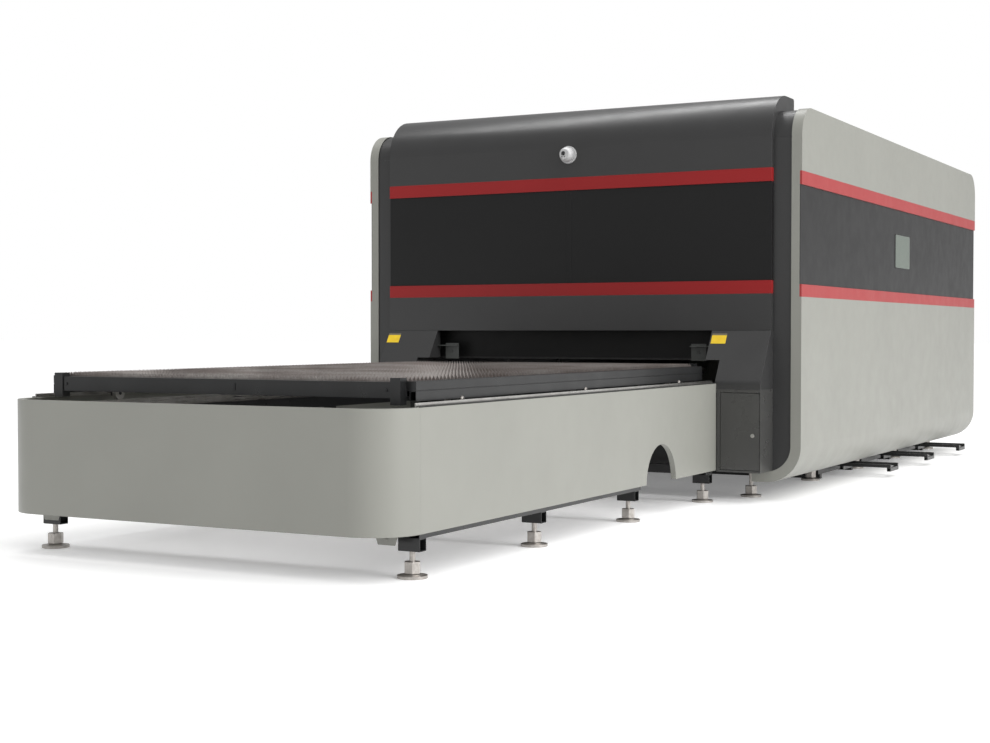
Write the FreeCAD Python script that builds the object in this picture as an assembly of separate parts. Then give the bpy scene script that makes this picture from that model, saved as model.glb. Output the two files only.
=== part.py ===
import FreeCAD, Part
import math
import os

# Fiber laser cutting machine with a cabin, a gantry, a travelling pallet and an exchange table.
# Built in millimetres about the machine's own datum: X = 0 on the centre line (right side +X),
# Y = 0 on the cabin's front plane (the table lies at -Y), Z = 0 on the floor.
# At export everything moves so that the origin is the bottom centre of the whole machine.

# ---- driving dimensions: cabin ----
CABIN_LENGTH = 4600.0
CABIN_HALF = 1420.0
PANEL_TOP = 2210.0
PANEL_BOTTOM = 105.0
PANEL_THICKNESS = 60.0
PANEL_BEND = 205.0          # outer radius of the inward roll at the foot of a side panel
PANEL_CORNER = 170.0        # rounded upper corners of a side panel, seen from the side
PANEL_LIP = 80.0            # flat stretch under the roll
SHEET = 3.0
GAP = 0.3                   # assembly clearance between neighbouring pieces
RECESS = 12.0               # depth of the band pressed into a side panel
SIDE_STRIPE_LOW = (1147.0, 1217.0)
SIDE_STRIPE_HIGH = (1772.0, 1847.0)
WINDOW_Y = (2088.0, 2472.0)
WINDOW_Z = (1384.0, 1605.0)
WINDOW_PANE = 6.0
WINDOW_REBATE = 14.0

# ---- driving dimensions: front ----
FASCIA_HALF = CABIN_HALF - 165.0
FASCIA_FRONT = -30.0
FASCIA_BACK = 367.0
FASCIA_TOP = PANEL_TOP + 87.0
FASCIA_BOTTOM = 960.0
FASCIA_ROLL = 250.0         # radius of the housing's rolled upper front
FASCIA_BACK_ROLL = 15.0
FRONT_STRIPE_LOW = (1167.0, 1241.0)
FRONT_STRIPE_HIGH = (1794.0, 1870.0)
BAND_INSET = 8.0
WALL_FRONT = 6.0            # front wall plate, just behind the panel edges
WALL_SHEET = 4.0
MOUTH_HALF = 1000.0         # opening that the pallet runs through
MOUTH_BOTTOM = 560.0
HOOD_FRONT = -208.0
HOOD_INNER = FASCIA_HALF - 349.0
HOOD_STEP_INNER = 990.0
HOOD_STEP = 793.0
HOOD_KNEE = 672.0
HOOD_BOTTOM = 632.0
HOOD_ROLL = 45.0
CABINET_INNER = FASCIA_HALF - 254.0
BEND_INNER = PANEL_BEND - PANEL_THICKNESS        # the cabinet's lower corner clears the panel's roll
BEND_SIDE = FASCIA_HALF - (CABIN_HALF - PANEL_BEND)
CABINET_BOTTOM = PANEL_BOTTOM + PANEL_BEND + 1.0 - (BEND_INNER ** 2 - BEND_SIDE ** 2) ** 0.5
DOOR_INNER = CABINET_INNER + 23.0
DOOR_TOP = 612.0
DOOR_BOTTOM = CABINET_BOTTOM + 14.0
DOOR_DEPTH = 20.0
DOOR_SHEET = 2.0
DOOR_GAP = 3.0
HINGE_INSET = 6.0           # hinge axis from the door's inner edge
HINGE_SETBACK = 4.0         # hinge axis behind the door's front face
HINGE_PIN = 3.0
FIT = 0.05                  # radial running clearance
LOCK_RADIUS = 11.0
LOCK_FROM_EDGE = 38.0
LOCK_HEIGHT = 378.0
LIFT_DOOR_HALF = 975.0
LIFT_DOOR_BOTTOM = 800.0
LIFT_DOOR_HEIGHT = 700.0
LIFT_DOOR_Y = 70.0
LIFT_DOOR_DEPTH = 24.0
LIFT_TRAVEL = 170.0
CABLE_INLET = (32.0, -900.0, 420.0)     # radius, X and Z of the holes in the rear wall
DUCT_PORT = (125.0, 700.0, 700.0)
CAMERA_HEIGHT = 2004.0
CAMERA_RADIUS = 44.0
CAMERA_PROUD = 28.0         # ball centre in front of the fascia
COLLAR_RADIUS = 52.0
COLLAR_DEPTH = 10.0
LENS_RADIUS = 10.0
CAMERA_FACE = 34.0          # flat front of the ball, ahead of its centre
CAMERA_CHAMBER = 26.0       # radius and half height of the hollow inside the ball
CAMERA_SPINDLE = 6.0
CAMERA_ARM = 5.0
SPINDLE_REACH = 33.0
ARM_SWING = 33.0            # half width of the slot that lets the ball turn about the arm

# ---- driving dimensions: bed and gantry ----
BEAM_OUTER = CABIN_HALF - 180.0
BEAM_INNER = BEAM_OUTER - 200.0
BEAM_BOTTOM = 300.0
BEAM_TOP = 860.0
BEAM_WALL = 10.0
CROSS_SIZE = 120.0
CROSS_WALL = 8.0
RAIL_WIDTH = 35.0
RAIL_HEIGHT = 35.0
RAIL_X = BEAM_INNER + 80.0
RACK_X = BEAM_OUTER - 38.0
RACK_WIDTH = 25.0
RACK_HEIGHT = 25.0
PINION_RADIUS = 30.0
PINION_SHAFT = 10.0
GANTRY_Y = 500.0            # gantry centre when parked at the front
GANTRY_DEPTH = 240.0
GANTRY_BOTTOM = 1000.0
GANTRY_TOP = 1260.0
GANTRY_WALL = 8.0
SHOE_INNER = RAIL_X - 60.0
SHOE_OUTER = RAIL_X + 60.0
SHOE_LENGTH = 300.0
MOTOR_SIZE = 90.0
MOTOR_LENGTH = 110.0
CROSS_RAIL = 20.0
CROSS_RAIL_HEIGHTS = (1040.0, 1220.0)
CARRIAGE_HALF = 120.0
CARRIAGE_TOP = 1300.0
CARRIAGE_BOTTOM = 970.0
CARRIAGE_DEPTH = 26.0
SLIDE_DEPTH = 20.0
HEAD_RADIUS = 42.0
HEAD_TOP = 1330.0
NOZZLE_TOP = 930.0
NOZZLE_TIP = 860.0

# ---- driving dimensions: pallet ----
PALLET_FRONT = -3369.0
PALLET_BACK = -219.0
PALLET_HALF = 935.0
PALLET_BOTTOM = 682.0
PALLET_SEAM = 722.0
PALLET_TOP = 760.0
PALLET_RAIL_WIDTH = 47.0
PALLET_TUBE_WIDTH = 30.0
PALLET_WALL = 3.0
POST_SIZE = 46.0
POST_BOTTOM = 668.0
POST_TOP = 773.0
END_BEAM_BOTTOM = 694.0
END_BEAM_TOP = 757.0
END_BEAM_DEPTH = 36.0
SLAT_PITCH = 60.0
SLAT_THICKNESS = 3.0
SLAT_BOTTOM = 702.0
SLAT_ROOT = 757.0
SLAT_TIP = 776.0
TOOTH_PITCH = 32.0
SLAT_END_SPACE = 60.0
LEDGE = 18.0
HANGER = 6.0                # thickness of a wheel hanger
WHEEL_STATIONS = (-2970.0, -1790.0, -610.0)
WHEEL_RADIUS = 30.0
WHEEL_WIDTH = 20.0
WHEEL_X = 880.0
AXLE_RADIUS = 8.0
TRACK_TOP = 640.0
WHEEL_Z = TRACK_TOP + GAP + WHEEL_RADIUS
TRACK_HEIGHT = 40.0
TRACK_WIDTH = 30.0
TRACK_JOINT = 2.0           # gap between the table's track and the cabin's
SIDE_GUIDE = (971.0, 976.0)     # bright strips on the table's rims that keep the pallet straight
SIDE_GUIDE_HEIGHT = 17.0

# ---- driving dimensions: exchange table ----
TABLE_HALF = 998.0
TABLE_FRONT = -3598.0
TABLE_BACK = HOOD_FRONT - GAP
TABLE_TOP = 663.0
TABLE_BOTTOM = 179.0
TABLE_CORNER = 200.0
TABLE_FLANGE = 28.0
ARCH_Y = -1000.0
ARCH_RADIUS = 196.0
ARCH_FLANGE = TABLE_FLANGE
FOOT_X = 922.0
FOOT_FIRST = -3335.0
FOOT_PITCH = 1040.0
FOOT_STATIONS = [FOOT_FIRST + FOOT_PITCH * i for i in range(4)]
TUBE = 50.0
TUBE_WALL = 3.0
CROSS_BOTTOM = 105.0
POST_X = 905.0
UPPER_BEAM_BOTTOM = 540.0
UPPER_BEAM_HALF_WIDTH = 30.0

# ---- driving dimensions: feet, trays and drive ----
CABIN_FOOT_X = BEAM_INNER + 26.0
CABIN_FOOT_STATIONS = (188.0, 1336.0, 2364.0, 3394.0, 4470.0)
PAD_RADIUS = 60.0
PAD_HEIGHT = 19.0
PAD_NECK = 24.0
HEX_ACROSS = 60.0
HEX_HEIGHT = 45.0
STUD_RADIUS = 11.5
TRAY_PITCH = 1030.0
TRAY_FIRST = 1424.0
TRAY_WIDTH = 850.0
TRAY_BOTTOM = 30.0
TRAY_TOP = 95.0
TRAY_LEFT = -1000.0
TRAY_RIGHT = CABIN_HALF - 330.0
TRAY_COUNT = 3
SKID_WIDTH = 40.0
GRIP_OUTER = 1476.0
GRIP_LENGTH = 205.0
GRIP_TUBE = 24.0
GRIP_BAR = 20.0
GRIP_BOTTOM = 40.0
GRIP_INNER = 1164.0
DRIVE_SETBACK = 150.0       # drive shaft in front of the table's last cross tube
DRIVE_Y = FOOT_STATIONS[-1] - DRIVE_SETBACK
DRIVE_Z = 420.0
DRIVE_BLOCK = 70.0          # half size of the gear block
DRIVE_SHAFT = 15.0
SPROCKET_RADIUS = 55.0
SPROCKET_WIDTH = 14.0

PARTS = "parts"
ORIGIN = FreeCAD.Vector((GRIP_OUTER - CABIN_HALF) / 2, (CABIN_LENGTH + TABLE_FRONT) / 2, 0)
CAMERA_CENTRE = FreeCAD.Vector(0, FASCIA_FRONT - CAMERA_PROUD, CAMERA_HEIGHT)


def vec(x, y, z):
    return FreeCAD.Vector(x, y, z)


def box(x, y, z):
    """Box from (low, high) pairs."""
    return Part.makeBox(x[1] - x[0], y[1] - y[0], z[1] - z[0], vec(x[0], y[0], z[0]))


def cylinder(radius, start, end):
    axis = end.sub(start)
    return Part.makeCylinder(radius, axis.Length, start, axis)


def mirrored(shape):
    return shape.mirror(vec(0, 0, 0), vec(1, 0, 0))


def both_sides(shape):
    return [shape, mirrored(shape)]


def save(name, pieces):
    solids = pieces if isinstance(pieces, list) else [pieces]
    shape = Part.makeCompound(solids) if len(solids) > 1 else solids[0]
    placed = shape.copy()
    placed.translate(ORIGIN.negative())
    placed.exportStep(os.path.join(PARTS, name + ".step"))


def rounded_wire(points, radii, place):
    """Closed wire through 2-D points, each corner rounded by its radius, placed in space."""
    count = len(points)
    trimmed = []
    for i in range(count):
        corner = FreeCAD.Vector(points[i][0], points[i][1], 0)
        before = FreeCAD.Vector(points[i - 1][0], points[i - 1][1], 0)
        after = FreeCAD.Vector(points[(i + 1) % count][0], points[(i + 1) % count][1], 0)
        to_before = before.sub(corner).normalize()
        to_after = after.sub(corner).normalize()
        if radii[i] <= 0:
            trimmed.append((corner, None, corner))
            continue
        half = to_before.getAngle(to_after) / 2
        reach = radii[i] / math.tan(half)
        bisector = to_before.add(to_after).normalize()
        centre = corner.add(bisector.multiply(radii[i] / math.sin(half)))
        middle = centre.add(corner.sub(centre).normalize().multiply(radii[i]))
        start = corner.add(FreeCAD.Vector(to_before).multiply(reach))
        end = corner.add(FreeCAD.Vector(to_after).multiply(reach))
        trimmed.append((start, middle, end))
    edges = []
    for i in range(count):
        start, middle, end = trimmed[i]
        following = trimmed[(i + 1) % count][0]
        if middle is not None:
            edges.append(Part.Arc(place(start), place(middle), place(end)).toShape())
        if end.distanceToPoint(following) > 1e-6:
            edges.append(Part.makeLine(place(end), place(following)))
    return Part.Wire(edges)


def prism_y(points, radii, y_low, y_high):
    """Extrusion along Y of an outline given as (x, z) points."""
    wire = rounded_wire(points, radii, lambda p: vec(p.x, y_low, p.y))
    return Part.Face(wire).extrude(vec(0, y_high - y_low, 0))


def prism_x(points, radii, x_low, x_high):
    """Extrusion along X of an outline given as (y, z) points."""
    wire = rounded_wire(points, radii, lambda p: vec(x_low, p.x, p.y))
    return Part.Face(wire).extrude(vec(x_high - x_low, 0, 0))


def prism_z(points, radii, z_low, z_high):
    """Extrusion along Z of an outline given as (x, y) points."""
    wire = rounded_wire(points, radii, lambda p: vec(p.x, p.y, z_low))
    return Part.Face(wire).extrude(vec(0, 0, z_high - z_low))


def tube_y(x, y, z, wall):
    """Rectangular tube along Y, open at both ends."""
    return box(x, y, z).cut(box((x[0] + wall, x[1] - wall), (y[0] - 1, y[1] + 1), (z[0] + wall, z[1] - wall)))


def tube_x(x, y, z, wall):
    return box(x, y, z).cut(box((x[0] - 1, x[1] + 1), (y[0] + wall, y[1] - wall), (z[0] + wall, z[1] - wall)))


def tube_z(x, y, z, wall):
    return box(x, y, z).cut(box((x[0] + wall, x[1] - wall), (y[0] + wall, y[1] - wall), (z[0] - 1, z[1] + 1)))


# ---- cabin ----
LIP_END = CABIN_HALF - PANEL_BEND - PANEL_LIP
INNER_X = CABIN_HALF - PANEL_THICKNESS
INNER_BEND = PANEL_BEND - PANEL_THICKNESS
INNER_BOTTOM = PANEL_BOTTOM + PANEL_THICKNESS
ROOF_TOP = PANEL_TOP - WALL_FRONT


def rolled_section(inset, depth, y_low, y_high):
    """Upright with an inward roll at its foot: a band `depth` thick, its outer face set in by `inset`."""
    outer = CABIN_HALF - inset
    inner = outer - depth
    low = PANEL_BOTTOM + inset
    lip = LIP_END + inset
    bend = PANEL_BEND - inset
    points = [(outer, PANEL_TOP - inset), (outer, low), (lip, low), (lip, low + depth),
              (inner, low + depth), (inner, PANEL_TOP - inset)]
    return prism_y(points, [0, bend, 0, 0, bend - depth, 0], y_low, y_high)


def side_outline(inset, x_low, x_high):
    """Side view of the cabin: a rectangle with rounded upper corners."""
    y = (inset, CABIN_LENGTH - inset)
    corner = PANEL_CORNER - inset
    points = [(y[0], 0), (y[0], PANEL_TOP - inset), (y[1], PANEL_TOP - inset), (y[1], 0)]
    return prism_x(points, [0, corner, corner, 0], x_low, x_high)


def side_panel():
    """Right side panel: sheet folded to a 60 mm deep tray, open towards the cabin, with a pressed band."""
    reach = (0.0, CABIN_HALF + 1)
    shell = rolled_section(0, PANEL_THICKNESS, 0, CABIN_LENGTH).common(side_outline(0, *reach))
    # The hollow stops one sheet short of the lip's free edge and of the front, back and top edges.
    hollow = rolled_section(SHEET, PANEL_THICKNESS, 0, CABIN_LENGTH).common(side_outline(SHEET, *reach))
    band = (SIDE_STRIPE_LOW[0], SIDE_STRIPE_HIGH[1])
    relief = box((CABIN_HALF - RECESS - SHEET, CABIN_HALF + 1), (-1, CABIN_LENGTH + 1),
                 (band[0] - SHEET, band[1] + SHEET))
    press = box((CABIN_HALF - RECESS, CABIN_HALF + 1), (-1, CABIN_LENGTH + 1), band)
    window = box((CABIN_HALF - PANEL_THICKNESS, CABIN_HALF + 1),
                 (WINDOW_Y[0] + WINDOW_REBATE, WINDOW_Y[1] - WINDOW_REBATE),
                 (WINDOW_Z[0] + WINDOW_REBATE, WINDOW_Z[1] - WINDOW_REBATE))
    return shell.cut(hollow.cut(relief)).cut(press).cut(window)


def side_band():
    """Dark plate that lines the pressed band, with the window opening."""
    x = (CABIN_HALF - RECESS, CABIN_HALF - RECESS + SHEET)
    plate = box(x, (0, CABIN_LENGTH), (SIDE_STRIPE_LOW[1] + GAP, SIDE_STRIPE_HIGH[0] - GAP))
    return plate.cut(box((x[0] - 1, x[1] + 1), (WINDOW_Y[0] - GAP, WINDOW_Y[1] + GAP),
                         (WINDOW_Z[0] - GAP, WINDOW_Z[1] + GAP)))


def side_stripes():
    """Two trim channels, flush with the panel above and below the dark band."""
    stripes = []
    for z in (SIDE_STRIPE_LOW, SIDE_STRIPE_HIGH):
        outer = box((CABIN_HALF - RECESS, CABIN_HALF), (0, CABIN_LENGTH), z)
        inner = box((CABIN_HALF - RECESS - 1, CABIN_HALF - SHEET), (SHEET, CABIN_LENGTH - SHEET),
                    (z[0] + SHEET, z[1] - SHEET))
        stripes.append(outer.cut(inner))
    return stripes


def window_pane():
    low = CABIN_HALF - RECESS
    pane = box((low, low + WINDOW_PANE), WINDOW_Y, WINDOW_Z)
    upright = [edge for edge in pane.Edges if abs(edge.Vertexes[0].X - edge.Vertexes[1].X) > 1]
    return pane.makeFillet(10.0, upright)


def wall_outline(y_low, y_high, top):
    """Plate that fills the inside of the two side panels, with the panels' rolled lower corners."""
    x = INNER_X - GAP
    bottom = INNER_BOTTOM + GAP
    points = [(-x, bottom), (x, bottom), (x, top), (-x, top)]
    return prism_y(points, [INNER_BEND - GAP, INNER_BEND - GAP, 0, 0], y_low, y_high)


def front_wall():
    plate = wall_outline(WALL_FRONT, WALL_FRONT + WALL_SHEET, PANEL_TOP - PANEL_CORNER - GAP)
    return plate.cut(box((-MOUTH_HALF, MOUTH_HALF), (0, 100), (MOUTH_BOTTOM, FASCIA_BOTTOM)))


def rear_wall():
    back = CABIN_LENGTH - WALL_FRONT
    plate = wall_outline(back - WALL_SHEET, back, PANEL_TOP - PANEL_CORNER - GAP)
    for radius, x, z in (CABLE_INLET, DUCT_PORT):
        plate = plate.cut(cylinder(radius, vec(x, back - 2 * WALL_SHEET, z), vec(x, back + 1, z)))
    return plate


def roof_outline(inset):
    """Points and corner radii of the roof's side view, rolled down at the front and at the back."""
    front = WALL_FRONT + inset
    back = CABIN_LENGTH - WALL_FRONT - inset
    low = PANEL_TOP - PANEL_CORNER
    corner = PANEL_CORNER - WALL_FRONT - inset
    return [(front, low), (front, ROOF_TOP - inset), (back, ROOF_TOP - inset), (back, low)], [0, corner, corner, 0]


def roof_panel():
    """Roof sheet: flat, and rolled down to meet the front wall and the rear wall."""
    outer_points, outer_radii = roof_outline(0)
    inner_points, inner_radii = roof_outline(SHEET)
    points = outer_points + inner_points[::-1]
    radii = outer_radii + inner_radii[::-1]
    return prism_x(points, radii, -INNER_X + GAP, INNER_X - GAP)


def fascia_block(inset, bottom):
    """Top housing as a solid: a constant side view with a large roll at its upper front."""
    half = FASCIA_HALF - inset
    front = FASCIA_FRONT + inset
    back = FASCIA_BACK - inset
    top = FASCIA_TOP - inset
    points = [(front, bottom), (front, top), (back, top), (back, bottom)]
    return prism_x(points, [0, FASCIA_ROLL - inset, FASCIA_BACK_ROLL - inset, 0], -half, half)


def fascia_top():
    """Upper housing over the front edge of the cabin: a shell that sits on the rolled roof."""
    low = FRONT_STRIPE_HIGH[1] + GAP
    shell = fascia_block(0, low).cut(fascia_block(SHEET, low - 1))
    # What lies below the roof or behind the front wall's face is cut away.
    points, radii = roof_outline(-GAP)
    points[0] = (points[0][0], low - 1)
    points[3] = (points[3][0], low - 1)
    under_roof = prism_x(points, radii, -CABIN_HALF, CABIN_HALF)
    socket = Part.makeSphere(CAMERA_RADIUS + GAP, CAMERA_CENTRE)
    return shell.cut(under_roof).cut(socket).removeSplitter()


def fascia_tray(x, front, z):
    """Shallow tray with its floor to the front, its rims reaching back to the front wall."""
    rims = (x[0] + SHEET, x[1] - SHEET)
    inner = box(rims, (front + SHEET, WALL_FRONT + 1), (z[0] + SHEET, z[1] - SHEET))
    return box(x, (front, WALL_FRONT - GAP), z).cut(inner)


def front_band(side):
    x = (GAP, FASCIA_HALF) if side > 0 else (-FASCIA_HALF, -GAP)
    return fascia_tray(x, FASCIA_FRONT + BAND_INSET, (FRONT_STRIPE_LOW[1] + GAP, FRONT_STRIPE_HIGH[0] - GAP))


def front_stripe(z):
    return fascia_tray((-FASCIA_HALF, FASCIA_HALF), FASCIA_FRONT, z)


def fascia_lower():
    return fascia_tray((-FASCIA_HALF, FASCIA_HALF), FASCIA_FRONT, (FASCIA_BOTTOM, FRONT_STRIPE_LOW[0] - GAP))


def hood_prism(x_low, x_high, inset, back, floor):
    """Hood body between two X values: a slope from the fascia down to the knee, rolled at the knee."""
    top = FASCIA_BOTTOM - GAP - inset
    lean = FASCIA_FRONT + 1
    slope = (FASCIA_BOTTOM - GAP - HOOD_KNEE) / (lean - HOOD_FRONT)
    skew = math.sqrt(1 + slope ** 2)
    top_y = lean + inset * (skew - 1) / slope
    front = HOOD_FRONT + inset
    knee = FASCIA_BOTTOM - GAP + (front - lean) * slope - inset * skew
    points = [(back, top), (top_y, top), (front, knee), (front, floor), (back, floor)]
    return prism_x(points, [0, 0, HOOD_ROLL, 0, 0], x_low, x_high)


def hood():
    """Right hood: a closed sheet shell with a stepped inner side that lets the pallet pass."""
    back = WALL_FRONT - GAP
    outer = hood_prism(HOOD_INNER, FASCIA_HALF, 0, back, HOOD_BOTTOM)
    outer = outer.cut(box((0, HOOD_STEP_INNER), (-500, 100), (0, HOOD_STEP)))
    inner = hood_prism(HOOD_INNER + SHEET, FASCIA_HALF - SHEET, SHEET, back + 1, HOOD_BOTTOM - 1)
    inner = inner.cut(box((0, HOOD_STEP_INNER + SHEET), (-500, 100), (0, HOOD_STEP + SHEET)))
    return outer.cut(inner)


def cabinet():
    """Right cabinet: a sheet box open to the front, with a jamb for the door."""
    x = (CABINET_INNER, FASCIA_HALF)
    y = (HOOD_FRONT, WALL_FRONT - GAP)
    z = (CABINET_BOTTOM, HOOD_BOTTOM - GAP)
    body = box(x, y, z).cut(box((x[0] + SHEET, x[1] - SHEET), (y[0] + SHEET, y[1] - SHEET),
                                (z[0] + SHEET, z[1] - SHEET)))
    opening = box((DOOR_INNER - DOOR_GAP, x[1] - SHEET), (y[0] - 1, y[0] + SHEET + 1),
                  (DOOR_BOTTOM - DOOR_GAP, DOOR_TOP + DOOR_GAP))
    body = body.cut(opening)
    for z_seat in (DOOR_BOTTOM - DOOR_GAP - SHEET, DOOR_TOP + DOOR_GAP):
        seat = box((DOOR_INNER - DOOR_GAP, DOOR_INNER + 30), (y[0], y[0] + DOOR_DEPTH), (z_seat, z_seat + SHEET))
        link = box((x[0] + SHEET - 1, DOOR_INNER + 30), (y[0], y[0] + SHEET),
                   (min(z_seat, z[1] - SHEET), max(z_seat + SHEET, z[0] + SHEET)))
        body = body.fuse(seat).fuse(link.common(box(x, y, z)).cut(opening))
    pin = cylinder(HINGE_PIN + FIT, hinge_point(z[0] + SHEET + 1), hinge_point(z[1] - SHEET - 1))
    return body.cut(pin).removeSplitter()


def hinge_point(z):
    return vec(DOOR_INNER + HINGE_INSET, HOOD_FRONT + HINGE_SETBACK, z)


def cabinet_door():
    """Door pan with a skin, folded edges, two hinge pins and the lock hole."""
    x = (DOOR_INNER, FASCIA_HALF - SHEET - DOOR_GAP)
    y = (HOOD_FRONT, HOOD_FRONT + DOOR_DEPTH)
    z = (DOOR_BOTTOM, DOOR_TOP)
    pan = box(x, y, z).cut(box((x[0] + DOOR_SHEET, x[1] - DOOR_SHEET), (y[0] + DOOR_SHEET, y[1] + 1),
                               (z[0] + DOOR_SHEET, z[1] - DOOR_SHEET)))
    reach = DOOR_GAP + SHEET + 2
    for low in (z[0] - reach, z[1] - DOOR_SHEET):
        pan = pan.fuse(cylinder(HINGE_PIN, hinge_point(low), hinge_point(low + reach + DOOR_SHEET)))
    return pan.cut(lock_cylinder(FIT, 0)).removeSplitter()


def lock_cylinder(extra, proud):
    centre = lambda y: vec(FASCIA_HALF - SHEET - DOOR_GAP - LOCK_FROM_EDGE, y, LOCK_HEIGHT)
    return cylinder(LOCK_RADIUS + extra, centre(HOOD_FRONT - proud - 1), centre(HOOD_FRONT + DOOR_DEPTH - 2))


def door_lock():
    """Round lock plug with a key slot in its face."""
    plug = lock_cylinder(0, 4)
    x = FASCIA_HALF - SHEET - DOOR_GAP - LOCK_FROM_EDGE
    slot = box((x - 1.5, x + 1.5), (HOOD_FRONT - 10, HOOD_FRONT - 2), (LOCK_HEIGHT - 5, LOCK_HEIGHT + 5))
    return plug.cut(slot)


def lifting_door():
    """Panel with folded edges that closes the space above the pallet."""
    x = (-LIFT_DOOR_HALF, LIFT_DOOR_HALF)
    y = (LIFT_DOOR_Y, LIFT_DOOR_Y + LIFT_DOOR_DEPTH)
    z = (LIFT_DOOR_BOTTOM, LIFT_DOOR_BOTTOM + LIFT_DOOR_HEIGHT)
    return box(x, y, z).cut(box((x[0] + SHEET, x[1] - SHEET), (y[0] + SHEET, y[1] + 1),
                                (z[0] + SHEET, z[1] - SHEET)))


def lifting_guide():
    """Right guide channel, fixed to the front wall on two pads."""
    z = (LIFT_DOOR_BOTTOM + 165, LIFT_DOOR_BOTTOM + LIFT_DOOR_HEIGHT + LIFT_TRAVEL + 30)
    x = (LIFT_DOOR_HALF - 20, LIFT_DOOR_HALF + 12)
    y = (LIFT_DOOR_Y - 6, LIFT_DOOR_Y + LIFT_DOOR_DEPTH + 6)
    groove = (LIFT_DOOR_Y - GAP, LIFT_DOOR_Y + LIFT_DOOR_DEPTH + GAP)
    channel = box(x, y, z).cut(box((x[0] - 1, LIFT_DOOR_HALF + GAP), groove, (z[0] - 1, z[1] + 1)))
    pads = [box(x, (WALL_FRONT + WALL_SHEET, y[0]), (low, low + 60)) for low in (z[0], z[1] - 60)]
    return channel.fuse(pads)


def camera_ball():
    """Swivelling ball of the overview camera, flattened in front, with a sunk lens."""
    ball = Part.makeSphere(CAMERA_RADIUS, CAMERA_CENTRE)
    face = CAMERA_CENTRE.y - CAMERA_FACE
    ball = ball.cut(box((-80, 80), (face - 40, face), (CAMERA_HEIGHT - 80, CAMERA_HEIGHT + 80)))
    lens = cylinder(LENS_RADIUS, vec(-7, face - 1, CAMERA_HEIGHT + 4), vec(-7, face + 6, CAMERA_HEIGHT + 4))
    slot = box((-ARM_SWING, ARM_SWING), (CAMERA_CENTRE.y + CAMERA_ARM, CAMERA_CENTRE.y + CAMERA_RADIUS + 1),
               (CAMERA_HEIGHT - CAMERA_ARM - 2, CAMERA_HEIGHT + CAMERA_ARM + 2))
    ball = ball.cut(lens).cut(slot).cut(on_pan_axis(CAMERA_CHAMBER, CAMERA_CHAMBER))
    return ball.cut(on_pan_axis(CAMERA_SPINDLE + FIT, SPINDLE_REACH + 1))


def on_pan_axis(radius, half_height):
    """Upright cylinder about the line that the camera turns on."""
    rise = vec(0, 0, half_height)
    return cylinder(radius, CAMERA_CENTRE.sub(rise), CAMERA_CENTRE.add(rise))


def camera_bracket():
    """Strip behind the housing with an arm into the ball and the spindle that the ball turns on."""
    back = CAMERA_CENTRE.y + CAMERA_RADIUS + 1
    z = (CAMERA_HEIGHT - 10, CAMERA_HEIGHT + 10)
    bridge = box((-COLLAR_RADIUS, COLLAR_RADIUS), (back, back + SHEET), z)
    seat = box((COLLAR_RADIUS - 12, COLLAR_RADIUS), (FASCIA_FRONT + SHEET + GAP, back + SHEET), z)
    arm = cylinder(CAMERA_ARM, CAMERA_CENTRE, vec(0, back + 1, CAMERA_HEIGHT))
    spindle = on_pan_axis(CAMERA_SPINDLE, SPINDLE_REACH)
    return bridge.fuse([seat, mirrored(seat), arm, spindle]).removeSplitter()


def camera_collar():
    ring = cylinder(COLLAR_RADIUS, vec(0, FASCIA_FRONT - COLLAR_DEPTH, CAMERA_HEIGHT),
                    vec(0, FASCIA_FRONT, CAMERA_HEIGHT))
    return ring.cut(Part.makeSphere(CAMERA_RADIUS + GAP, CAMERA_CENTRE))


# ---- bed ----
WALL_INNER = WALL_FRONT + WALL_SHEET + GAP
BED_Y = (WALL_INNER, CABIN_LENGTH - WALL_INNER)


def bed_cross(y):
    return tube_x((-BEAM_INNER, BEAM_INNER), (y - CROSS_SIZE / 2, y + CROSS_SIZE / 2),
                  (BEAM_BOTTOM, BEAM_BOTTOM + CROSS_SIZE), CROSS_WALL)


def bed_stations():
    first, last = BED_Y[0] + CROSS_SIZE, BED_Y[1] - CROSS_SIZE
    return [first + (last - first) * i / 4 for i in range(5)]


def bed_rail():
    return box((RAIL_X - RAIL_WIDTH / 2, RAIL_X + RAIL_WIDTH / 2), BED_Y, (BEAM_TOP, BEAM_TOP + RAIL_HEIGHT))


def bed_rack():
    return box((RACK_X - RACK_WIDTH / 2, RACK_X + RACK_WIDTH / 2), BED_Y, (BEAM_TOP, BEAM_TOP + RACK_HEIGHT))


def track(y):
    """Flat track under the pallet's right wheels."""
    return box((WHEEL_X - TRACK_WIDTH / 2, WHEEL_X + TRACK_WIDTH / 2), y, (TRACK_TOP - TRACK_HEIGHT, TRACK_TOP))


def side_guide():
    """Strip along the right rim of the table, beside the pallet."""
    return box(SIDE_GUIDE, (TABLE_FRONT + TABLE_CORNER + GAP, TABLE_BACK - SHEET),
               (TABLE_TOP + GAP, TABLE_TOP + SIDE_GUIDE_HEIGHT))


def track_bracket(y):
    """Bracket that carries the cabin's track on the bed beam."""
    top = TRACK_TOP - TRACK_HEIGHT
    points = [(WHEEL_X - TRACK_WIDTH / 2, top), (BEAM_INNER, top), (BEAM_INNER, top - 110),
              (WHEEL_X + TRACK_WIDTH, top - 20), (WHEEL_X - TRACK_WIDTH / 2, top - 20)]
    return prism_y(points, [0] * 5, y - 20, y + 20)


# ---- gantry ----
GANTRY_SPAN = (GANTRY_Y - GANTRY_DEPTH / 2, GANTRY_Y + GANTRY_DEPTH / 2)
BRACKET_X = RACK_X + RACK_WIDTH / 2 + 5
PINION_Z = BEAM_TOP + RACK_HEIGHT + GAP + PINION_RADIUS


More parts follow.
